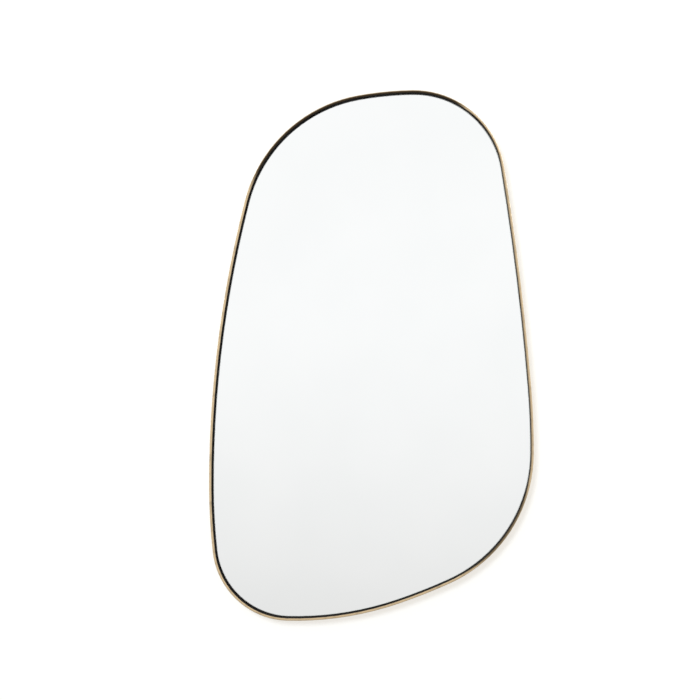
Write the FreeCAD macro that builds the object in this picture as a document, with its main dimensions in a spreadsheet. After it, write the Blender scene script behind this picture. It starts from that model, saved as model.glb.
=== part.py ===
"""Irregular wall mirror: a thin metal band bent to a pebble outline round a recessed mirror.

Frame: the wall is the plane Y = 0, the mirror faces -Y, +X is to the viewer's right and +Z is up.
The origin is the middle of the outline's width and height, on the wall.
"""

import FreeCAD, Part
import math
import os

import Sketcher

os.makedirs("parts", exist_ok=True)
doc = FreeCAD.newDocument("irregular_mirror")

# Driving dimensions, in millimetres and degrees.
DIMENSIONS = {
    # The outline seen from the front. It is a closed chain of tangent arcs, named anticlockwise
    # from its lowest point. A turn is how far an arc swings the outline's direction.
    "overall_width": 553,
    "overall_height": 900,
    "foot_radius": 554,
    "foot_turn": 20,
    "lower_edge_turn": 5.6,
    "lower_right_radius": 246,
    "right_flank_radius": 1280,
    "right_flank_turn": 4.9,
    "right_side_turn": 4.6,
    "upper_right_radius": 156,
    "crown_turn": 9.3,
    "upper_left_radius": 239,
    "upper_left_turn": 65.9,
    "left_flank_radius": 1023,
    "left_flank_turn": 6.2,
    "lower_left_radius": 130,
    # The band: flat bar on edge, bent round the outline.
    "band_depth": 30,
    "band_thickness": 4,
    "band_edge_bevel": 0.5,
    # What the band holds, from the front to the back.
    "mirror_recess": 10,
    "glass_thickness": 4,
    "glass_gap": 1.5,
    "glass_arris": 1.2,
    "tape_thickness": 1,
    "tape_width": 25,
    "tape_length": 500,
    "tape_pitch": 95,
    "tape_middle_height": -60,
    "board_thickness": 6,
    "board_gap": 1,
    # The lugs welded inside the band, which the board is screwed to.
    "tab_width": 22,
    "tab_reach": 20,
    "tab_thickness": 2,
    "tab_corner_clip": 4,
    "tab_hole_radius": 2.1,
    "tab_hole_inset": 12,
    # Cheese-head wood screws.
    "screw_length": 6.5,
    "screw_tip_length": 2,
    "screw_tip_radius": 0.5,
    "shank_radius": 1.75,
    "head_radius": 3.4,
    "head_height": 2.2,
    "cross_length": 3.6,
    "cross_width": 0.9,
    "cross_depth": 1.1,
    "pilot_clearance": 0.05,
    "pilot_extra_depth": 0.3,
    # The two hangers: a steel strip folded round the straight bar of a ring. The ring is punched
    # in a D from plate as thick as its sides are wide.
    "hanger_spacing": 280,
    "hanger_height": 240,
    "strap_width": 12,
    "strap_length": 36,
    "strip_thickness": 1.2,
    "strap_throat": 7,
    "strap_corner_clip": 3,
    "strap_hole_radius": 2,
    "first_hole_drop": 14,
    "hole_pitch": 14,
    "ring_stock": 2,
    "ring_clearance": 0.08,
    "ring_half_width": 9.5,
    "ring_corner_radius": 2.5,
    "ring_leg": 2,
}

sheet = doc.addObject("Spreadsheet::Sheet", "sizes")
for row, (name, number) in enumerate(DIMENSIONS.items(), start=1):
    sheet.set(f"A{row}", name)
    sheet.set(f"B{row}", str(number))
    sheet.setAlias(f"B{row}", name)
doc.recompute()

# The arcs of the outline in order. An arc with no radius here takes the one that closes the
# outline at its overall width and height, and an arc with no turn takes what is left of its quarter.
OUTLINE = {
    "foot": ("foot_radius", "foot_turn"),
    "lower_edge": (None, "lower_edge_turn"),
    "lower_right": ("lower_right_radius", None),
    "right_flank": ("right_flank_radius", "right_flank_turn"),
    "right_side": (None, "right_side_turn"),
    "upper_right": ("upper_right_radius", None),
    "crown": (None, "crown_turn"),
    "upper_left": ("upper_left_radius", "upper_left_turn"),
    "left_side": (None, None),
    "left_flank": ("left_flank_radius", "left_flank_turn"),
    "lower_left": ("lower_left_radius", None),
}
# Each quarter turns the outline by a right angle: from its lowest point to its rightmost one,
# on to the highest, on to the leftmost, and back.
QUARTERS = [
    ["foot", "lower_edge", "lower_right"],
    ["right_flank", "right_side", "upper_right"],
    ["crown", "upper_left", "left_side"],
    ["left_flank", "lower_left"],
]
RIGHT_ANGLE = 90

# Where the lugs sit: an arc of the outline, and how far along that arc.
TAB_PLACES = [
    ("foot", 0.9),
    ("lower_right", 0.7),
    ("right_side", 0.4),
    ("upper_right", 0.45),
    ("upper_left", 0.3),
    ("left_side", 0.4),
    ("lower_left", 0.3),
]
TAPE_STRIPS = 4
HOLES_PER_STRAP = 2

# Distances from the wall to each layer's back face.
CAVITY = (
    "(sizes.band_depth - sizes.mirror_recess - sizes.glass_thickness"
    " - sizes.tape_thickness - sizes.board_thickness)"
)
BOARD_FRONT = f"({CAVITY} + sizes.board_thickness)"
GLASS_BACK = f"({BOARD_FRONT} + sizes.tape_thickness)"
# The strap's eye clears the corners of the ring's bar as they turn in it.
EYE_RADIUS = "(sizes.ring_stock / sqrt(2) + sizes.ring_clearance)"
LOOP_RADIUS = f"({EYE_RADIUS} + sizes.strip_thickness)"


def value(formula):
    """The number that a formula on the sheet stands for."""
    return float(sheet.evalExpression(formula))


def size(name):
    return value(f"sizes.{name}")


# ---- The outline ---------------------------------------------------------------------------


def headings():
    """The outline's direction, in radians, where each arc starts and ends."""
    span = {}
    for quarter, names in enumerate(QUARTERS):
        turns = {name: size(OUTLINE[name][1]) for name in names if OUTLINE[name][1]}
        left_over = RIGHT_ANGLE - sum(turns.values())
        heading = quarter * RIGHT_ANGLE
        for name in names:
            end = heading + turns.get(name, left_over)
            span[name] = (math.radians(heading), math.radians(end))
            heading = end
    return span


def run(span):
    """How far an arc of radius 1 goes to the right."""
    return math.sin(span[1]) - math.sin(span[0])


def rise(span):
    """How far an arc of radius 1 goes up."""
    return math.cos(span[0]) - math.cos(span[1])


def outline_radii(inset):
    """Each arc's radius, for the outline drawn inside itself by inset."""
    span = headings()
    width = size("overall_width") - 2 * inset
    height = size("overall_height") - 2 * inset
    radius = {name: size(cells[0]) - inset for name, cells in OUTLINE.items() if cells[0]}

    def covered(quarters, step):
        names = [name for quarter in quarters for name in QUARTERS[quarter] if name in radius]
        return sum(radius[name] * step(span[name]) for name in names)

    radius["lower_edge"] = (width - covered((3, 0), run)) / run(span["lower_edge"])
    radius["right_side"] = (height - covered((0, 1), rise)) / rise(span["right_side"])
    # The crown and the left side close the outline together: two equations, two radii.
    width_left = -width - covered((1, 2), run)
    height_left = -height - covered((2, 3), rise)
    crown, side = span["crown"], span["left_side"]
    scale = run(crown) * rise(side) - run(side) * rise(crown)
    radius["crown"] = (width_left * rise(side) - height_left * run(side)) / scale
    radius["left_side"] = (height_left * run(crown) - width_left * rise(crown)) / scale
    return radius


def outline_arcs(inset):
    """The outline's arcs in order, as name: (centre x, centre z, radius, start, end heading)."""
    span = headings()
    radius = outline_radii(inset)
    # The lowest point lies as far from the leftmost one as the last quarter runs.
    x = inset - size("overall_width") / 2
    x += sum(radius[name] * run(span[name]) for name in QUARTERS[3])
    z = inset - size("overall_height") / 2
    arcs = {}
    for name in OUTLINE:
        start, end = span[name]
        centre_x = x - radius[name] * math.sin(start)
        centre_z = z + radius[name] * math.cos(start)
        arcs[name] = (centre_x, centre_z, radius[name], start, end)
        x += radius[name] * run(span[name])
        z += radius[name] * rise(span[name])
    return arcs


# ---- Bodies, sketches and features ---------------------------------------------------------

sub_parts = []
# How near two lengths must be to count as the same when edges are picked.
EDGE_TOLERANCE = 1e-4


def new_body(label, kept=True):
    body = doc.addObject("PartDesign::Body", label)
    body.Label = label
    if kept:
        sub_parts.append(body)
    return body


def new_sketch(body, plane, name, offset="0"):
    """A sketch on one of the body's own origin planes, moved along its normal by offset.

    On XZ_Plane the normal is -Y, so there an offset is a distance forward from the wall.
    """
    sketch = body.newObject("Sketcher::SketchObject", name)
    support = [item for item in body.Origin.OriginFeatures if item.Role == plane][0]
    sketch.AttachmentSupport = [(support, "")]
    sketch.MapMode = "FlatFace"
    sketch.setExpression("AttachmentOffset.Base.z", offset)
    return sketch


def dimension(sketch, kind, where, formula):
    """Add a sketch dimension that is bound to the sheet."""
    number = value(formula)
    if kind == "Angle":
        number = math.radians(number)
    index = sketch.addConstraint(Sketcher.Constraint(kind, *where, number))
    sketch.setExpression(f"Constraints[{index}]", formula)


def add_line(sketch, start, end):
    return sketch.addGeometry(Part.LineSegment(FreeCAD.Vector(*start), FreeCAD.Vector(*end)))


def add_arc(sketch, centre, radius, start, end):
    circle = Part.Circle(FreeCAD.Vector(*centre), FreeCAD.Vector(0, 0, 1), radius)
    return sketch.addGeometry(Part.ArcOfCircle(circle, start, end))


def add_circle(sketch, centre, formula):
    circle = Part.Circle(FreeCAD.Vector(*centre), FreeCAD.Vector(0, 0, 1), value(formula))
    index = sketch.addGeometry(circle)
    dimension(sketch, "Radius", (index,), formula)
    return index


def join(sketch, geometry, smooth=()):
    """Join each curve's end to the next one's start, round to the first, tangent after smooth ones."""
    for this, following in zip(geometry, geometry[1:] + geometry[:1]):
        kind = "Tangent" if this in smooth else "Coincident"
        sketch.addConstraint(Sketcher.Constraint(kind, this, 2, following, 1))


def add_rectangle(sketch, width, height):
    """A rectangle centred on the sketch's origin."""
    half_width, half_height = value(width) / 2, value(height) / 2
    corners = [
        (-half_width, -half_height, 0),
        (half_width, -half_height, 0),
        (half_width, half_height, 0),
        (-half_width, half_height, 0),
    ]
    sides = [add_line(sketch, corners[side], corners[(side + 1) % 4]) for side in range(4)]
    join(sketch, sides)
    for side in (0, 2):
        sketch.addConstraint(Sketcher.Constraint("Horizontal", sides[side]))
        sketch.addConstraint(Sketcher.Constraint("Vertical", sides[side + 1]))
    sketch.addConstraint(Sketcher.Constraint("Symmetric", sides[0], 1, sides[2], 1, -1, 1))
    dimension(sketch, "DistanceX", (sides[0], 1, sides[0], 2), width)
    dimension(sketch, "DistanceY", (sides[1], 1, sides[1], 2), height)


def add_outline(sketch, *inset_cells):
    """Draw the mirror's outline, set in all round by the sum of the named sizes."""
    inset = " + ".join(f"sizes.{cell}" for cell in inset_cells) or "0"
    arcs = outline_arcs(value(inset))
    quarter_turn = math.radians(RIGHT_ANGLE)
    drawn = {
        name: add_arc(sketch, (x, z, 0), radius, start - quarter_turn, end - quarter_turn)
        for name, (x, z, radius, start, end) in arcs.items()
    }
    curves = list(drawn.values())
    join(sketch, curves, smooth=curves)
    # At each extreme point of the outline, the arc's centre is square behind the point.
    right, top, left, bottom = [drawn[names[-1]] for names in QUARTERS]
    for arc in (right, left):
        sketch.addConstraint(Sketcher.Constraint("Horizontal", arc, 3, arc, 2))
    for arc in (top, bottom):
        sketch.addConstraint(Sketcher.Constraint("Vertical", arc, 3, arc, 2))
    for name, (radius_cell, turn_cell) in OUTLINE.items():
        if radius_cell:
            dimension(sketch, "Radius", (drawn[name],), f"sizes.{radius_cell} - ({inset})")
        if turn_cell:
            dimension(sketch, "Angle", (drawn[name],), f"sizes.{turn_cell}")
    dimension(sketch, "DistanceX", (left, 2, right, 2), f"sizes.overall_width - 2 * ({inset})")
    dimension(sketch, "DistanceY", (bottom, 2, top, 2), f"sizes.overall_height - 2 * ({inset})")
    dimension(sketch, "DistanceX", (left, 2, -1, 1), f"sizes.overall_width / 2 - ({inset})")
    dimension(sketch, "DistanceY", (bottom, 2, -1, 1), f"sizes.overall_height / 2 - ({inset})")


def pad(body, sketch, length, both_ways=False):
    feature = body.newObject("PartDesign::Pad", "pad")
    feature.Profile = sketch
    feature.SideType = "Symmetric" if both_ways else "One side"
    feature.setExpression("Length", length)
    doc.recompute()
    return feature


def pocket(body, sketch, depth=None, forward=True):
    """Cut a sketch into the body, forward along its normal or backward, through all by default."""
    before = body.Shape.Volume
    feature = body.newObject("PartDesign::Pocket", "pocket")
    feature.Profile = sketch
    feature.Reversed = forward
    if depth:
        feature.setExpression("Length", depth)
    else:
        feature.Type = "ThroughAll"
    doc.recompute()
    if body.Shape.Volume >= before:
        raise RuntimeError(f"{body.Label}: {sketch.Label} cuts nothing")
    return feature


def edge_names(feature, wanted):
    return [f"Edge{n}" for n, edge in enumerate(feature.Shape.Edges, start=1) if wanted(edge)]


def bevelled(body, feature, wanted, bevel):
    chamfer = body.newObject("PartDesign::Chamfer", "chamfer")
    chamfer.Base = (feature, edge_names(feature, wanted))
    chamfer.setExpression("Size", bevel)
    doc.recompute()


def lies_flat(edge):
    """Whether an edge lies in a plate's front or back face."""
    return edge.BoundBox.YLength < EDGE_TOLERANCE


def lies_in_front_of(level):
    """A test that picks the edges further out from the wall than level."""
    return lambda edge: edge.BoundBox.YMax < level


def runs_through_below(level):
    """A test that picks the edges through a plate's thickness that are lower than level."""
    return lambda edge: not lies_flat(edge) and edge.BoundBox.ZMax < level


# ---- The band and what it holds ------------------------------------------------------------


def frame_band():
    """Flat bar on edge, bent round the outline and welded end to end, its front edges broken."""
    body = new_body("frame_band")
    sketch = new_sketch(body, "XZ_Plane", "band_section")
    add_outline(sketch)
    add_outline(sketch, "band_thickness")
    ring = pad(body, sketch, "sizes.band_depth")
    front = lies_in_front_of(EDGE_TOLERANCE - size("band_depth"))
    bevelled(body, ring, front, "sizes.band_edge_bevel")


def mirror_glass():
    """Silvered float glass, cut to the band less a gap, its edges ground to a small arris."""
    body = new_body("mirror_glass")
    sketch = new_sketch(body, "XZ_Plane", "glass_outline", GLASS_BACK)
    add_outline(sketch, "band_thickness", "glass_gap")
    plate = pad(body, sketch, "sizes.glass_thickness")
    bevelled(body, plate, lies_flat, "sizes.glass_arris")


def tape_strip(number):
    """One of the upright strips of foam tape that stick the glass to the board."""
    body = new_body(f"tape_strip_{number}")
    sketch = new_sketch(body, "XZ_Plane", f"tape_outline_{number}", BOARD_FRONT)
    add_rectangle(sketch, "sizes.tape_width", "sizes.tape_length")
    pad(body, sketch, "sizes.tape_thickness")
    steps = number - (TAPE_STRIPS + 1) / 2
    body.setExpression("Placement.Base.x", f"{steps} * sizes.tape_pitch")
    body.setExpression("Placement.Base.z", "sizes.tape_middle_height")


def backing_board():
    """Black fibreboard that carries the glass, drilled from behind for every screw."""
    body = new_body("backing_board")
    sketch = new_sketch(body, "XZ_Plane", "board_outline", CAVITY)
    add_outline(sketch, "band_thickness", "board_gap")
    pad(body, sketch, "sizes.board_thickness")
    for group, places, under_head in (
        ("tab", tab_screw_places(), "sizes.tab_thickness"),
        ("hanger", hanger_screw_places(), "2 * sizes.strip_thickness"),
    ):
        pilots = new_sketch(body, "XZ_Plane", f"{group}_pilot_holes", CAVITY)
        for x, z in places:
            hole = add_circle(pilots, (x, z, 0), "sizes.shank_radius + sizes.pilot_clearance")
            pilots.addConstraint(Sketcher.Constraint("DistanceX", -1, 1, hole, 3, x))
            pilots.addConstraint(Sketcher.Constraint("DistanceY", -1, 1, hole, 3, z))
        pocket(body, pilots, f"sizes.screw_length - {under_head} + sizes.pilot_extra_depth")


# ---- The lugs and the screws ---------------------------------------------------------------


def tab_seats():
    """Each lug's seat on the band's inner face: x, z, the way out, the heading, the face's radius."""
    arcs = outline_arcs(size("band_thickness"))
    seats = []
    for name, share in TAB_PLACES:
        centre_x, centre_z, radius, start, end = arcs[name]
        heading = start + share * (end - start)
        out = (math.sin(heading), -math.cos(heading))
        seats.append((centre_x + radius * out[0], centre_z + radius * out[1], out, heading, radius))
    return seats


def tab_screw_places():
    inset = size("tab_hole_inset")
    return [(x - inset * out[0], z - inset * out[1]) for x, z, out, heading, radius in tab_seats()]


def fixing_tab(number, seat):
    """A punched steel lug, its free corners clipped. Its seat on the band follows the band's inner face."""
    x, z, out, heading, face_radius = seat
    body = new_body(f"fixing_tab_{number}")
    sketch = new_sketch(body, "XZ_Plane", f"tab_outline_{number}", f"{CAVITY} - sizes.tab_thickness")
    half = size("tab_width") / 2
    reach = size("tab_reach")
    corner = math.sqrt(face_radius**2 - half**2) - face_radius
    half_angle = math.asin(half / face_radius)
    upright = math.radians(RIGHT_ANGLE)
    ends = (upright - half_angle, upright + half_angle)
    seat_arc = add_arc(sketch, (0, -face_radius, 0), face_radius, *ends)
    left = add_line(sketch, (-half, corner, 0), (-half, -reach, 0))
    free_end = add_line(sketch, (-half, -reach, 0), (half, -reach, 0))
    right = add_line(sketch, (half, -reach, 0), (half, corner, 0))
    join(sketch, [seat_arc, left, free_end, right])
    for side in (left, right):
        sketch.addConstraint(Sketcher.Constraint("Vertical", side))
    sketch.addConstraint(Sketcher.Constraint("PointOnObject", seat_arc, 3, -2))
    sketch.addConstraint(Sketcher.Constraint("Symmetric", free_end, 1, free_end, 2, -2))
    sketch.addConstraint(Sketcher.Constraint("Radius", seat_arc, face_radius))
    sketch.addConstraint(Sketcher.Constraint("DistanceY", seat_arc, 3, -1, 1, face_radius))
    dimension(sketch, "DistanceX", (free_end, 1, free_end, 2), "sizes.tab_width")
    dimension(sketch, "DistanceY", (free_end, 1, -1, 1), "sizes.tab_reach")
    hole = add_circle(sketch, (0, -size("tab_hole_inset"), 0), "sizes.tab_hole_radius")
    sketch.addConstraint(Sketcher.Constraint("PointOnObject", hole, 3, -2))
    dimension(sketch, "DistanceY", (hole, 3, -1, 1), "sizes.tab_hole_inset")
    plate = pad(body, sketch, "sizes.tab_thickness")
    corners = runs_through_below(EDGE_TOLERANCE - reach)
    bevelled(body, plate, corners, "sizes.tab_corner_clip")
    # The lug is drawn for the top of the outline and turned to where it belongs.
    turn = FreeCAD.Rotation(FreeCAD.Vector(0, -1, 0), math.degrees(heading) - 2 * RIGHT_ANGLE)
    body.Placement = FreeCAD.Placement(FreeCAD.Vector(x, 0, z), turn)


def wood_screw():
    """A cheese-head wood screw with a cross recess. Its head rests at Y = 0 and it drives to -Y."""
    body = new_body("wood_screw", kept=False)
    sketch = new_sketch(body, "XY_Plane", "screw_profile")
    shank, head, end = size("shank_radius"), size("head_radius"), size("screw_tip_radius")
    length, tip, height = size("screw_length"), size("screw_tip_length"), size("head_height")
    corners = [
        (0, -length, 0),
        (end, -length, 0),
        (shank, tip - length, 0),
        (shank, 0, 0),
        (head, 0, 0),
        (head, height, 0),
        (0, height, 0),
    ]
    ends = corners[1:] + corners[:1]
    lines = [add_line(sketch, first, last) for first, last in zip(corners, ends)]
    join(sketch, lines)
    blunt, point, side, seat, rim, top, axis = lines
    for line in (blunt, seat, top):
        sketch.addConstraint(Sketcher.Constraint("Horizontal", line))
    for line in (side, rim):
        sketch.addConstraint(Sketcher.Constraint("Vertical", line))
    sketch.addConstraint(Sketcher.Constraint("PointOnObject", axis, 1, -2))
    sketch.addConstraint(Sketcher.Constraint("PointOnObject", axis, 2, -2))
    sketch.addConstraint(Sketcher.Constraint("PointOnObject", seat, 1, -1))
    dimension(sketch, "DistanceX", (-1, 1, side, 2), "sizes.shank_radius")
    dimension(sketch, "DistanceX", (-1, 1, rim, 2), "sizes.head_radius")
    dimension(sketch, "DistanceX", (blunt, 1, blunt, 2), "sizes.screw_tip_radius")
    dimension(sketch, "DistanceY", (-1, 1, axis, 1), "sizes.head_height")
    dimension(sketch, "DistanceY", (axis, 2, -1, 1), "sizes.screw_length")
    dimension(sketch, "DistanceY", (point, 1, point, 2), "sizes.screw_tip_length")
    turned = body.newObject("PartDesign::Revolution", "turned")
    turned.Profile = sketch
    turned.ReferenceAxis = (sketch, ["V_Axis"])
    turned.Angle = 4 * RIGHT_ANGLE
    doc.recompute()
    slot = new_sketch(body, "XZ_Plane", "recess_slot", "-sizes.head_height")
    add_rectangle(slot, "sizes.cross_length", "sizes.cross_width")
    cut = pocket(body, slot, "sizes.cross_depth")
    cross = body.newObject("PartDesign::PolarPattern", "cross")
    cross.Originals = [cut]
    cross.Axis = (sketch, ["V_Axis"])
    cross.Angle = RIGHT_ANGLE
    cross.Occurrences = 2
    body.Tip = cross
    doc.recompute()
    return body


def screw_group(label, screw, places, seat_height):
    """Like screws, driven at the given places with their heads seat_height from the wall."""
    links = []
    for number, (x, z) in enumerate(places, start=1):
        link = doc.addObject("App::Link", f"{label}_{number}")
        link.LinkedObject = screw
        link.Placement.Base = FreeCAD.Vector(x, -value(seat_height), z)
        links.append(link)
    group = doc.addObject("Part::Compound", label)
    group.Label = label
    group.Links = links
    sub_parts.append(group)


# ---- The hangers ---------------------------------------------------------------------------

SIDES = {"left": -1, "right": 1}


def hanger_screw_places():
    places = []
    for side in SIDES.values():
        for hole in range(HOLES_PER_STRAP):
            drop = size("first_hole_drop") + hole * size("hole_pitch")
            places.append((side * size("hanger_spacing") / 2, size("hanger_height") - drop))
    return places


def place_hanger_piece(body, side, out):
    """Put a hanger piece at its side of the board, with its own origin out from the wall side."""
    body.setExpression("Placement.Base.x", f"{side} * sizes.hanger_spacing / 2")
    body.setExpression("Placement.Base.y", out)
    body.setExpression("Placement.Base.z", "sizes.hanger_height")


def strap_profile(sketch):
    """The folded strip seen from its edge: x is out from the board, y is up from the ring's bar."""
    strip = size("strip_thickness")
    eye, outer = value(EYE_RADIUS), value(LOOP_RADIUS)
    throat, length = size("strap_throat"), size("strap_length")
    half_turn = math.radians(2 * RIGHT_ANGLE)
    # The back leaf leaves the loop along the tangent that meets the front leaf at the throat.
    across = 2 * strip - outer
    leave = math.atan2(-throat, across) + math.acos(outer / math.hypot(across, throat))
    out, up = math.cos(leave), math.sin(leave)
    loop = add_arc(sketch, (outer, 0, 0), outer, leave, half_turn)
    front = add_line(sketch, (0, 0, 0), (0, -length, 0))
    end = add_line(sketch, (0, -length, 0), (2 * strip, -length, 0))
    back = add_line(sketch, (2 * strip, -length, 0), (2 * strip, -throat, 0))
    slope = add_line(sketch, (2 * strip, -throat, 0), (outer + outer * out, outer * up, 0))
    join(sketch, [loop, front, end, back, slope], smooth=[slope])
    # The eye runs inside the loop, one strip's thickness in.
    slope_length = (outer + eye * out - strip) / -up
    drop = slope_length * out - eye * up
    eye_loop = add_arc(sketch, (outer, 0, 0), eye, leave, half_turn)
    eye_front = add_line(sketch, (strip, 0, 0), (strip, -drop, 0))
    eye_slope = add_line(sketch, (strip, -drop, 0), (outer + eye * out, eye * up, 0))
    join(sketch, [eye_loop, eye_front, eye_slope], smooth=[eye_slope])
    for line in (front, back, eye_front):
        sketch.addConstraint(Sketcher.Constraint("Vertical", line))
    sketch.addConstraint(Sketcher.Constraint("Horizontal", end))
    sketch.addConstraint(Sketcher.Constraint("Parallel", slope, eye_slope))
    sketch.addConstraint(Sketcher.Constraint("Coincident", loop, 3, eye_loop, 3))
    sketch.addConstraint(Sketcher.Constraint("PointOnObject", loop, 3, -1))
    sketch.addConstraint(Sketcher.Constraint("Coincident", front, 1, -1, 1))
    sketch.addConstraint(Sketcher.Constraint("PointOnObject", eye_front, 1, -1))
    dimension(sketch, "Radius", (loop,), LOOP_RADIUS)
    dimension(sketch, "Radius", (eye_loop,), EYE_RADIUS)
    dimension(sketch, "DistanceX", (end, 1, end, 2), "2 * sizes.strip_thickness")
    dimension(sketch, "DistanceY", (end, 1, -1, 1), "sizes.strap_length")
    dimension(sketch, "DistanceY", (slope, 1, -1, 1), "sizes.strap_throat")


def hanger_strap(name, side):
    """A steel strip folded round the ring's bar, its two leaves pressed together and punched."""
    body = new_body(f"hanger_strap_{name}")
    sketch = new_sketch(body, "YZ_Plane", f"strap_profile_{name}")
    strap_profile(sketch)
    folded = pad(body, sketch, "sizes.strap_width", both_ways=True)
    corners = runs_through_below(EDGE_TOLERANCE - size("strap_length"))
    bevelled(body, folded, corners, "sizes.strap_corner_clip")
    holes = new_sketch(body, "XZ_Plane", f"strap_holes_{name}")
    for number in range(HOLES_PER_STRAP):
        drop = f"sizes.first_hole_drop + {number} * sizes.hole_pitch"
        hole = add_circle(holes, (0, -value(drop), 0), "sizes.strap_hole_radius")
        holes.addConstraint(Sketcher.Constraint("PointOnObject", hole, 3, -2))
        dimension(holes, "DistanceY", (hole, 3, -1, 1), drop)
    pocket(body, holes, forward=False)
    place_hanger_piece(body, side, f"-{CAVITY}")


def add_d_shape(sketch, outwards):
    """The ring's outline, drawn outwards of the middle of its stock. The bar lies along x."""
    edge = value(outwards)
    half, bend = size("ring_half_width") + edge, size("ring_corner_radius") + edge
    straight, corner = half - bend, size("ring_corner_radius")
    shoulder = corner + size("ring_leg")
    quarter = math.radians(RIGHT_ANGLE)
    bar = add_line(sketch, (-straight, -edge, 0), (straight, -edge, 0))
    right_corner = add_arc(sketch, (straight, corner, 0), bend, -quarter, 0)
    right_leg = add_line(sketch, (half, corner, 0), (half, shoulder, 0))
    bow = add_arc(sketch, (0, shoulder, 0), half, 0, 2 * quarter)
    left_leg = add_line(sketch, (-half, shoulder, 0), (-half, corner, 0))
    left_corner = add_arc(sketch, (-straight, corner, 0), bend, 2 * quarter, 3 * quarter)
    curves = [bar, right_corner, right_leg, bow, left_leg, left_corner]
    join(sketch, curves, smooth=curves)
    sketch.addConstraint(Sketcher.Constraint("Vertical", right_leg))
    sketch.addConstraint(Sketcher.Constraint("Vertical", left_leg))
    sketch.addConstraint(Sketcher.Constraint("Symmetric", bar, 1, bar, 2, -2))
    dimension(sketch, "Radius", (right_corner,), f"sizes.ring_corner_radius + {outwards}")
    dimension(sketch, "Radius", (left_corner,), f"sizes.ring_corner_radius + {outwards}")
    dimension(sketch, "Radius", (bow,), f"sizes.ring_half_width + {outwards}")
    dimension(sketch, "DistanceY", (right_leg, 1, right_leg, 2), "sizes.ring_leg")
    dimension(sketch, "DistanceY", (-1, 1, right_corner, 3), "sizes.ring_corner_radius")


def hanger_ring(name, side):
    """A ring punched in a D from plate, its straight bar through the strap's eye, where it swings."""
    body = new_body(f"hanger_ring_{name}")
    sketch = new_sketch(body, "XZ_Plane", f"ring_outlines_{name}")
    add_d_shape(sketch, "(sizes.ring_stock / 2)")
    add_d_shape(sketch, "(-sizes.ring_stock / 2)")
    pad(body, sketch, "sizes.ring_stock", both_ways=True)
    place_hanger_piece(body, side, f"{LOOP_RADIUS} - {CAVITY}")


# ---- The whole mirror ----------------------------------------------------------------------

frame_band()
mirror_glass()
for strip in range(1, TAPE_STRIPS + 1):
    tape_strip(strip)
backing_board()
for tab, seat in enumerate(tab_seats(), start=1):
    fixing_tab(tab, seat)
screw = wood_screw()
screw_group("tab_screws", screw, tab_screw_places(), f"{CAVITY} - sizes.tab_thickness")
screw_group("hanger_screws", screw, hanger_screw_places(), f"{CAVITY} - 2 * sizes.strip_thickness")
for name, side in SIDES.items():
    hanger_strap(name, side)
    hanger_ring(name, side)
doc.recompute()

for item in doc.Objects:
    if "Invalid" in item.State or "Error" in item.State:
        raise RuntimeError(f"{item.Label} failed: {item.State}")
for part in sub_parts:
    if part.Shape.isNull() or not part.Shape.isValid():
        raise RuntimeError(f"{part.Label} has no sound shape")
for part in sub_parts:
    part.Shape.exportStep(f"parts/{part.Label}.step")
    print(f"{part.Label}: {len(part.Shape.Solids)} solid(s), {part.Shape.Volume / 1000:.2f} cm3")
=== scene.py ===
import math

import bmesh
import bpy
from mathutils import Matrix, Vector


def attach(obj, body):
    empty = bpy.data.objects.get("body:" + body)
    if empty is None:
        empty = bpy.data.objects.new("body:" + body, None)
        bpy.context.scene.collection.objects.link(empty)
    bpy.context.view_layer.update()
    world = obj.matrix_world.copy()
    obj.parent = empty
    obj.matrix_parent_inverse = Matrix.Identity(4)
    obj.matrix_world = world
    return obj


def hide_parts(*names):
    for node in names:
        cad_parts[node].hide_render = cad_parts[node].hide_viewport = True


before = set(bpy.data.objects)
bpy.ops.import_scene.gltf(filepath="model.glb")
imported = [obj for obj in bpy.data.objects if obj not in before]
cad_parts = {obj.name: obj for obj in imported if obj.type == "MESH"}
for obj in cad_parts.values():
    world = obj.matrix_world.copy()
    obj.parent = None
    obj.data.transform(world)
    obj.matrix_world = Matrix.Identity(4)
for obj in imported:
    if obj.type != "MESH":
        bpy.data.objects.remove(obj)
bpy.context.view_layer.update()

# ---- The camera -----------------------------------------------------------------------------
# It stands 2.3 m in front of the mirror, a little to its right and above its middle, as in the
# photograph, and looks at a point left of the middle.

camera = bpy.data.objects.new("camera", bpy.data.cameras.new("camera"))
bpy.context.scene.collection.objects.link(camera)
bpy.context.scene.camera = camera
camera.data.lens = 70.216
camera.location = (0.2219, -2.3246, 0.0981)
looks_at = Vector((-0.0327, -0.0300, 0.0146))
camera.rotation_euler = (looks_at - camera.location).to_track_quat("-Z", "Y").to_euler()
bpy.context.scene.view_settings.view_transform = "Standard"

# ---- The wall -------------------------------------------------------------------------------
# A white painted wall that the mirror hangs on. It is stage, not part of the mirror. Only its
# front shows, so that the mirror's back can be looked at from behind.

MM = 0.001
WALL_HALF = 1.5
WALL_PLAY = 0.3 * MM
COVER_REACH = 40 * MM
COVERED, OPEN = 0.1, 0.35


def colour(written):
    """The linear colour of an sRGB hex value."""
    channels = [int(written[i : i + 2], 16) / 255 for i in (1, 3, 5)]
    return [c / 12.92 if c <= 0.04045 else ((c + 0.055) / 1.055) ** 2.4 for c in channels] + [1]


def add(tree, kind, feeds, **settings):
    """Add a node with its settings. A socket is fed a plain value or another node's output."""
    node = tree.nodes.new(kind)
    for name, setting in settings.items():
        setattr(node, name, setting)
    for socket, feed in feeds.items():
        if isinstance(feed, bpy.types.NodeSocket):
            tree.links.new(feed, node.inputs[socket])
        else:
            node.inputs[socket].default_value = feed
    return node


def reckon(tree, operation, first, second):
    """One step of arithmetic on two values."""
    return add(tree, "ShaderNodeMath", {0: first, 1: second}, operation=operation).outputs[0]


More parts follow.
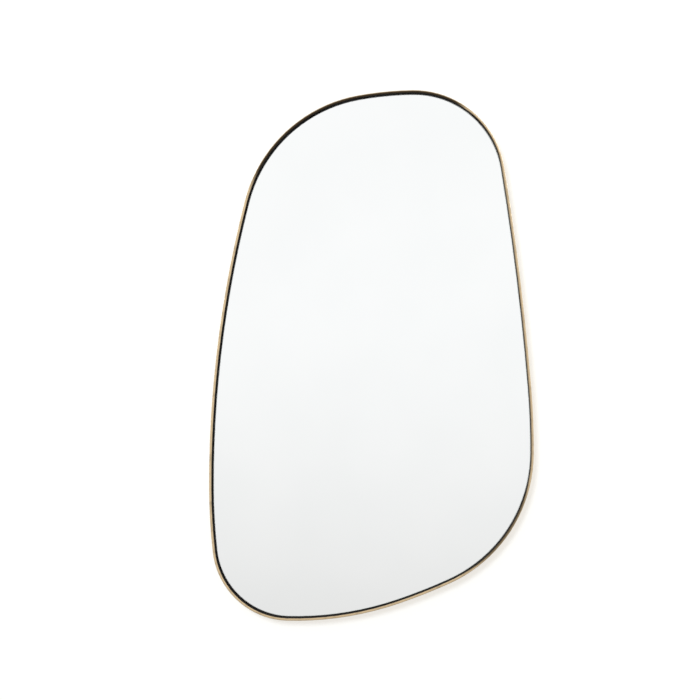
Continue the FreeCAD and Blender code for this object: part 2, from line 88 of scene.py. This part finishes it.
def ramp(tree, value, span=(0.0, 1.0), ends=(0.0, 1.0), eased=False):
    """Carry a value from its span to two ends, and hold it level past them."""
    feeds = {
        "Value": value, "From Min": span[0], "From Max": span[1], "To Min": ends[0], "To Max": ends[1]}
    way = "SMOOTHSTEP" if eased else "LINEAR"
    return add(tree, "ShaderNodeMapRange", feeds, interpolation_type=way).outputs[0]


def new_material(name):
    """A material with nothing in it yet, and its tree."""
    material = bpy.data.materials.new(name)
    material.use_nodes = True
    material.node_tree.nodes.clear()
    return material, material.node_tree


def finish(tree, **feeds):
    """Close a material with its one shader. A socket's name has _ where Blender's has a space."""
    sockets = {name.replace("_", " "): feed for name, feed in feeds.items()}
    shader = add(tree, "ShaderNodeBsdfPrincipled", sockets)
    add(tree, "ShaderNodeOutputMaterial", {"Surface": shader.outputs["BSDF"]})


# Matt emulsion. It shows the soft shadow beside the mirror, and a painted glow added to it lifts it to
# white where it is lit.
wall_paint, tree = new_material("white_wall_emulsion")
path = add(tree, "ShaderNodeLightPath", {})
geometry = add(tree, "ShaderNodeNewGeometry", {})
paint = add(tree, "ShaderNodeBsdfDiffuse", {"Color": colour("#AFB6BD")})
# The painted glow is taken away where the mirror covers the wall, which paints shade there, as seen
# through the slot round the board.
cover = add(tree, "ShaderNodeAmbientOcclusion", {"Distance": COVER_REACH})
open_wall = ramp(tree, cover.outputs["AO"], span=(COVERED, OPEN))
painted_glow = add(tree, "ShaderNodeEmission", {"Color": colour("#D3CEC6"), "Strength": open_wall})
paint_and_glow = add(tree, "ShaderNodeAddShader", {0: paint.outputs[0], 1: painted_glow.outputs[0]})
nothing = add(tree, "ShaderNodeBsdfTransparent", {})
from_front = reckon(tree, "SUBTRACT", 1.0, geometry.outputs["Backfacing"])
shown = reckon(tree, "MULTIPLY", path.outputs["Is Camera Ray"], from_front)
surface = add(
    tree, "ShaderNodeMixShader", {0: shown, 1: nothing.outputs[0], 2: paint_and_glow.outputs[0]})
add(tree, "ShaderNodeOutputMaterial", {"Surface": surface.outputs[0]})

shape = bmesh.new()
bmesh.ops.create_grid(shape, x_segments=1, y_segments=1, size=WALL_HALF)
upright = Vector((0, 0, 1)).rotation_difference(Vector((0, -1, 0))).to_matrix()
bmesh.ops.rotate(shape, verts=shape.verts, matrix=upright)
bmesh.ops.translate(shape, verts=shape.verts, vec=(0, WALL_PLAY, 0))
wall_mesh = bpy.data.meshes.new("wall")
shape.to_mesh(wall_mesh)
shape.free()
wall_mesh.materials.append(wall_paint)
wall = bpy.data.objects.new("wall", wall_mesh)
bpy.context.scene.collection.objects.link(wall)

# ---- The light ------------------------------------------------------------------------------
# A large soft lamp at the upper left in front, which throws the faint shadow at the lower right,
# two behind for views of the back, and a white room all round.

ROOM_LIGHT = 0.5
FLOOR_UP, WALLS_UP = -0.75, 0.02


def lamp(name, place, size, power, mirrored):
    """A square area lamp that faces the mirror's middle. One not mirrored shows in no gloss."""
    light = bpy.data.lights.new(name, "AREA")
    light.size = size
    light.energy = power
    holder = bpy.data.objects.new(name, light)
    bpy.context.scene.collection.objects.link(holder)
    holder.location = place
    holder.rotation_euler = (-holder.location).to_track_quat("-Z", "Y").to_euler()
    holder.visible_glossy = mirrored


def between(tree, share, low, high):
    """A colour between two others, which are hex values or other nodes' outputs."""
    low, high = (colour(end) if isinstance(end, str) else end for end in (low, high))
    mixed = add(tree, "ShaderNodeMix", {0: share, 6: low, 7: high}, data_type="RGBA")
    return mixed.outputs[2]


lamp("front_lamp", (-0.8, -4.3, 1.6), size=1.1, power=108, mirrored=False)
lamp("back_lamp_left", (1.8, 2.2, 1.4), size=1.6, power=60, mirrored=True)
lamp("back_lamp_right", (-2.0, 2.4, 0.6), size=1.6, power=45, mirrored=True)

room = bpy.data.worlds.new("white_room")
bpy.context.scene.world = room
room.use_nodes = True
tree = room.node_tree
tree.nodes.clear()
path = add(tree, "ShaderNodeLightPath", {})
heading = add(tree, "ShaderNodeTexCoord", {})
up = add(tree, "ShaderNodeSeparateXYZ", {0: heading.outputs["Generated"]})
# What the glass and the metal show: a white room above, its pale floor far below.
level = ramp(tree, up.outputs["Z"], span=(FLOOR_UP, WALLS_UP), eased=True)
room_colour = between(tree, level, "#8F8A83", "#FFFFFF")
mirrored = reckon(
    tree, "MAXIMUM", path.outputs["Is Glossy Ray"], path.outputs["Is Transmission Ray"])
dim_light = add(tree, "ShaderNodeBackground", {"Color": colour("#FFFFFF"), "Strength": ROOM_LIGHT})
mirrored_room = add(tree, "ShaderNodeBackground", {"Color": room_colour, "Strength": 1.0})
white = add(tree, "ShaderNodeBackground", {"Color": colour("#FFFFFF"), "Strength": 1.0})
unseen = add(
    tree, "ShaderNodeMixShader", {0: mirrored, 1: dim_light.outputs[0], 2: mirrored_room.outputs[0]})
whole = add(
    tree, "ShaderNodeMixShader",
    {0: path.outputs["Is Camera Ray"], 1: unseen.outputs[0], 2: white.outputs[0]})
add(tree, "ShaderNodeOutputWorld", {"Surface": whole.outputs[0]})

# ---- The band -------------------------------------------------------------------------------
# Flat steel bar 30 mm deep and 4 mm thick, bent to the pebble outline and butt welded. It is
# plated in brass, toned dark, and brushed back along its length, with its front edges rounded.

SHARP_ANGLE = math.radians(25)
FLAT_ANGLE = math.radians(0.2)
SAME_POINT = 0.001 * MM
BAND_THICKNESS = 4 * MM
# The real brush lines are finer, and wouldn't show.
BRUSH_PITCH = 0.5 * MM
BRUSH_LENGTH = 50 * MM
PATCH_SIZE = 14 * MM
# Where the band's outer side faces, in degrees up from the mirror's right.
# The middles of the two stretches that are painted with a dark reflection.
DARK_REFLECTION_TOP = 106
DARK_REFLECTION_FOOT = -33
RIGHT_BEND = 32
RIGHT = 0


def joined_copy(node_name, piece_name, body, material, merge_flat=True):
    """A copy of a CAD node with its triangles joined up, finished and shown in its place."""
    shape = bmesh.new()
    shape.from_mesh(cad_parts[node_name].data)
    bmesh.ops.remove_doubles(shape, verts=shape.verts, dist=SAME_POINT)
    if merge_flat:
        bmesh.ops.dissolve_limit(
            shape, angle_limit=FLAT_ANGLE, verts=shape.verts, edges=shape.edges)
    for face in shape.faces:
        face.smooth = True
    for edge in shape.edges:
        edge.smooth = edge.calc_face_angle(0) < SHARP_ANGLE
    mesh = bpy.data.meshes.new(piece_name)
    shape.to_mesh(mesh)
    shape.free()
    mesh.materials.append(material)
    piece = bpy.data.objects.new(piece_name, mesh)
    bpy.context.scene.collection.objects.link(piece)
    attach(piece, body)
    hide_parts(node_name)
    return piece


def round_edges(piece, width, segments):
    """Break the sharp edges of a piece."""
    bevel = piece.modifiers.new("edges", "BEVEL")
    bevel.width = width
    bevel.segments = segments
    bevel.limit_method = "ANGLE"
    bevel.angle_limit = SHARP_ANGLE


def noise(tree, where, grain, detail=2.0, roughness=0.5):
    """An even noise whose features are about a grain across."""
    feeds = {
        "Vector": where.outputs["Object"], "Scale": 1 / grain, "Detail": detail,
        "Roughness": roughness}
    return add(tree, "ShaderNodeTexNoise", feeds).outputs["Fac"]


# Antique brass, brushed back: a satin gold line in which brown is left in random patches, and all
# along the inside, where the brush never reached. Two stretches of the front are painted brown as a
# dark reflection, with a painted highlight at their outer edge, and the right-hand side has painted
# shade along its inner edge.
antique_brass, tree = new_material("antique_brass_brushed_back")
where = add(tree, "ShaderNodeTexCoord", {})
place = add(tree, "ShaderNodeSeparateXYZ", {0: where.outputs["Object"]})
facing = add(tree, "ShaderNodeSeparateXYZ", {0: where.outputs["Normal"]})
across = add(tree, "ShaderNodeAttribute", {}, attribute_name="across").outputs["Fac"]
outward = add(tree, "ShaderNodeAttribute", {}, attribute_name="outward").outputs["Vector"]


def stretch(centre, first, full, most=1.0):
    """most where the band's outer side faces within full degrees of centre, 0 from first on."""
    centre, first, full = (math.radians(angle) for angle in (centre, first, full))
    aim = (math.cos(centre), 0, math.sin(centre))
    near = add(tree, "ShaderNodeVectorMath", {0: outward, 1: aim}, operation="DOT_PRODUCT")
    span = (math.cos(first), math.cos(full))
    return ramp(tree, near.outputs["Value"], span, ends=(0.0, most), eased=True)


line_across = reckon(tree, "MULTIPLY", across, BAND_THICKNESS / BRUSH_PITCH)
line_deep = add(
    tree, "ShaderNodeMath", {0: place.outputs["Y"], 1: 1 / BRUSH_PITCH, 2: line_across},
    operation="MULTIPLY_ADD")
along_x = reckon(tree, "MULTIPLY", place.outputs["X"], 1 / BRUSH_LENGTH)
along_z = reckon(tree, "MULTIPLY", place.outputs["Z"], 1 / BRUSH_LENGTH)
brush_place = add(
    tree, "ShaderNodeCombineXYZ", {0: along_x, 1: line_deep.outputs[0], 2: along_z})
brush = add(
    tree, "ShaderNodeTexNoise",
    {"Vector": brush_place.outputs[0], "Scale": 1.0, "Detail": 2.0}).outputs["Fac"]
patchy = ramp(tree, noise(tree, where, PATCH_SIZE), span=(0.4, 0.8), ends=(0.0, 0.3), eased=True)
# Two stretches are painted brown as a painted dark reflection, except at the outer edge, which is left
# gold as a painted highlight. The right-hand side is painted brown along its inner edge as painted
# shade, and more so in its two bends.
dark_reflection_stretches = reckon(
    tree, "MAXIMUM", stretch(DARK_REFLECTION_TOP, 58, 44), stretch(DARK_REFLECTION_FOOT, 21, 9, most=0.75))
off_edge_highlight = ramp(tree, across, span=(0.0, 0.3), ends=(0.15, 0.95), eased=True)
painted_reflection = reckon(tree, "MULTIPLY", dark_reflection_stretches, off_edge_highlight)
inner_edge_shade = ramp(tree, across, span=(0.42, 0.87), ends=(0.0, 0.9), eased=True)
bends = reckon(tree, "MAXIMUM", stretch(RIGHT_BEND, 25, 12), stretch(DARK_REFLECTION_FOOT, 28, 16))
right_side = reckon(tree, "MAXIMUM", bends, stretch(RIGHT, 62, 45, most=0.55))
painted_right_shade = reckon(tree, "MULTIPLY", right_side, inner_edge_shade)
painted_reflection_and_shade = reckon(tree, "MAXIMUM", painted_reflection, painted_right_shade)
patina_and_painted_shade = reckon(tree, "MAXIMUM", painted_reflection_and_shade, patchy)
# The front's gold, darkened by the painted reflection and shade, and by the random brown patches.
gold_with_painted_shade = between(tree, patina_and_painted_shade, "#E4CCA6", "#2C1F12")
# The inside wall keeps all its tone, which is a black-brown skin over the metal.
on_inside = reckon(tree, "GREATER_THAN", across, 0.97)
off_front = reckon(tree, "GREATER_THAN", facing.outputs["Y"], -0.5)
inside = reckon(tree, "MULTIPLY", on_inside, off_front)
brass_colour = between(tree, inside, gold_with_painted_shade, "#120D08")
bare = reckon(tree, "SUBTRACT", 1.0, inside)
rubbed_roughness = ramp(tree, brush, ends=(0.34, 0.5))
brass_roughness = add(tree, "ShaderNodeMix", {0: inside, 2: rubbed_roughness, 3: 0.75})
brushing = add(
    tree, "ShaderNodeBump", {"Height": brush, "Strength": 0.15, "Distance": 0.05 * MM})
finish(
    tree, Base_Color=brass_colour, Metallic=bare, Roughness=brass_roughness.outputs[0],
    Specular_IOR_Level=0.2, Normal=brushing.outputs[0])

band = joined_copy(
    "frame_band", "brass_band", "mirror", antique_brass, merge_flat=False)
shape = bmesh.new()
shape.from_mesh(band.data)
across_layer = shape.verts.layers.float.new("across")
outward_layer = shape.verts.layers.float_vector.new("outward")
for vert in shape.verts:
    # across is 0 on the band's outer wall and 1 on its inner wall, and outward is the way that
    # the outer wall faces there.
    facing_sum = sum((face.normal for face in vert.link_faces), Vector())
    aim = Vector((facing_sum.x, 0, facing_sum.z)).normalized()
    is_inner = aim.dot(vert.co) < 0
    vert[across_layer] = float(is_inner)
    vert[outward_layer] = -aim if is_inner else aim
shape.to_mesh(band.data)
shape.free()
round_edges(band, width=0.2 * MM, segments=2)

# ---- The lugs -------------------------------------------------------------------------------
# Seven punched steel lugs, welded inside the band behind the board. They are plated with it, and
# the brush can't reach them, so they stay brown.

LUG_COUNT = 7

# Antique brass as it comes from the toning bath: brown with a dull gold showing through.
toned_brass, tree = new_material("antique_brass_unbrushed")
where = add(tree, "ShaderNodeTexCoord", {})
bloom = noise(tree, where, 5 * MM, detail=3.0)
toned = between(tree, bloom, "#4E3E29", "#9A8157")
dull = ramp(tree, bloom, ends=(0.4, 0.65))
finish(tree, Base_Color=toned, Metallic=1.0, Roughness=dull)

for number in range(1, LUG_COUNT + 1):
    lug = joined_copy(
        f"fixing_tab_{number}", f"lug_{number}", "mirror", toned_brass)
    round_edges(lug, width=0.25 * MM, segments=2)

# ---- The glass ------------------------------------------------------------------------------
# Float glass 4 mm thick, silvered on its back and painted over the silver. Its edge and arris
# are ground, which leaves them matt and a pale green-white.

SQUARE_ON = 0.98

# A silvered front, a ground edge, and a dull green-grey paint at the back.
silvered_glass, tree = new_material("silvered_float_glass")
where = add(tree, "ShaderNodeTexCoord", {})
facing = add(tree, "ShaderNodeSeparateXYZ", {0: where.outputs["Normal"]})
silvered = reckon(tree, "LESS_THAN", facing.outputs["Y"], -SQUARE_ON)
painted = reckon(tree, "GREATER_THAN", facing.outputs["Y"], SQUARE_ON)
# Float glass is never quite even. Its tint drifts over about 150 mm.
silver = between(tree, noise(tree, where, 150 * MM), "#FCFDFD", "#F6F8F8")
ground = between(tree, noise(tree, where, 0.4 * MM), "#F2F6F4", "#FFFFFF")
edge_or_paint = between(tree, painted, ground, "#5E6864")
glass_colour = between(tree, silvered, edge_or_paint, silver)
polish = ramp(tree, silvered, ends=(0.5, 0.0))
# A painted glow on the ground edge, on the side away from the lamp, stands in for light that the glass
# pipes to its edge.
facing_from_lamp = add(
    tree, "ShaderNodeVectorMath", {0: where.outputs["Normal"], 1: (0.8, 0, -0.6)},
    operation="DOT_PRODUCT")
painted_edge_glow = ramp(tree, facing_from_lamp.outputs["Value"], span=(0.1, 0.5), eased=True)
finish(
    tree, Base_Color=glass_colour, Metallic=silvered, Roughness=polish,
    Emission_Color=between(tree, painted_edge_glow, "#000000", "#A8ACAA"), Emission_Strength=1.0)
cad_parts["mirror_glass"].material_slots[0].material = silvered_glass

# ---- The tape -------------------------------------------------------------------------------
# Four strips of white closed-cell foam tape between the glass and the board. Nothing of them
# shows from outside the mirror.

STRIP_COUNT = 4

# Foam with cells of about 0.6 mm, which mottle it faintly.
foam, tree = new_material("white_foam_tape")
where = add(tree, "ShaderNodeTexCoord", {})
cell_colour = between(tree, noise(tree, where, 0.6 * MM), "#D8D8D4", "#F0F0EC")
finish(tree, Base_Color=cell_colour, Roughness=0.9)
for number in range(1, STRIP_COUNT + 1):
    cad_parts[f"tape_strip_{number}"].material_slots[0].material = foam

# ---- The board ------------------------------------------------------------------------------
# Fibreboard 6 mm thick, sealed in matt black on every face. It carries the glass and shows as the
# dark gap round it.

# The sealer follows the fibres, which raise it slightly, and it took unevenly in clouds 40 mm
# across. The fibres are drawn 1.5 mm long, as the real ones are too fine to show.
black_board, tree = new_material("black_sealed_fibreboard")
where = add(tree, "ShaderNodeTexCoord", {})
fibres = noise(tree, where, 1.5 * MM, detail=4.0, roughness=0.7)
cloudy = ramp(tree, noise(tree, where, 40 * MM), span=(0.35, 0.65))
tone = between(tree, cloudy, "#191818", "#242322")
flecks = ramp(tree, fibres, span=(0.55, 0.75), ends=(0.0, 0.55))
board_colour = between(tree, flecks, tone, "#433E37")
sealed = ramp(tree, fibres, ends=(0.6, 0.85))
raised = add(
    tree, "ShaderNodeBump", {"Height": fibres, "Strength": 0.4, "Distance": 0.15 * MM})
finish(
    tree, Base_Color=board_colour, Roughness=sealed, Specular_IOR_Level=0.2,
    Normal=raised.outputs[0])
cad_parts["backing_board"].material_slots[0].material = black_board

# ---- The screws and the hangers -------------------------------------------------------------
# Bright zinc-plated steel: turned screws with a cross recess, strips folded round the bar of a
# ring, and D-shaped rings punched from plate.


def zinc_plate(name, spangle, darker, paler, smoothest, roughest):
    """Zinc plate, mottled by its crystals, which are spangle across."""
    zinc, tree = new_material(name)
    where = add(tree, "ShaderNodeTexCoord", {})
    mottle = noise(tree, where, spangle, detail=3.0)
    sheen = ramp(tree, mottle, ends=(smoothest, roughest))
    finish(tree, Base_Color=between(tree, mottle, darker, paler), Metallic=1.0, Roughness=sheen)
    return zinc


# The rolled strip took a dull, blue-grey plate, and the turned screws a bright one.
strip_zinc = zinc_plate("zinc_on_rolled_strip", 1.5 * MM, "#888F97", "#BCC0C3", 0.3, 0.55)
screw_zinc = zinc_plate("zinc_on_turned_steel", 0.8 * MM, "#C9CBC9", "#F0EFEA", 0.15, 0.3)

for group in ("tab", "hanger"):
    screws = joined_copy(
        f"{group}_screws", f"screws_of_{group}s", "mirror", screw_zinc)
    round_edges(screws, width=0.35 * MM, segments=3)
for side in ("left", "right"):
    strap = joined_copy(
        f"hanger_strap_{side}", f"folded_strap_{side}", "mirror", strip_zinc)
    round_edges(strap, width=0.2 * MM, segments=2)
    ring = joined_copy(
        f"hanger_ring_{side}", f"d_ring_{side}", f"{side}_ring", strip_zinc)
    round_edges(ring, width=0.5 * MM, segments=3)
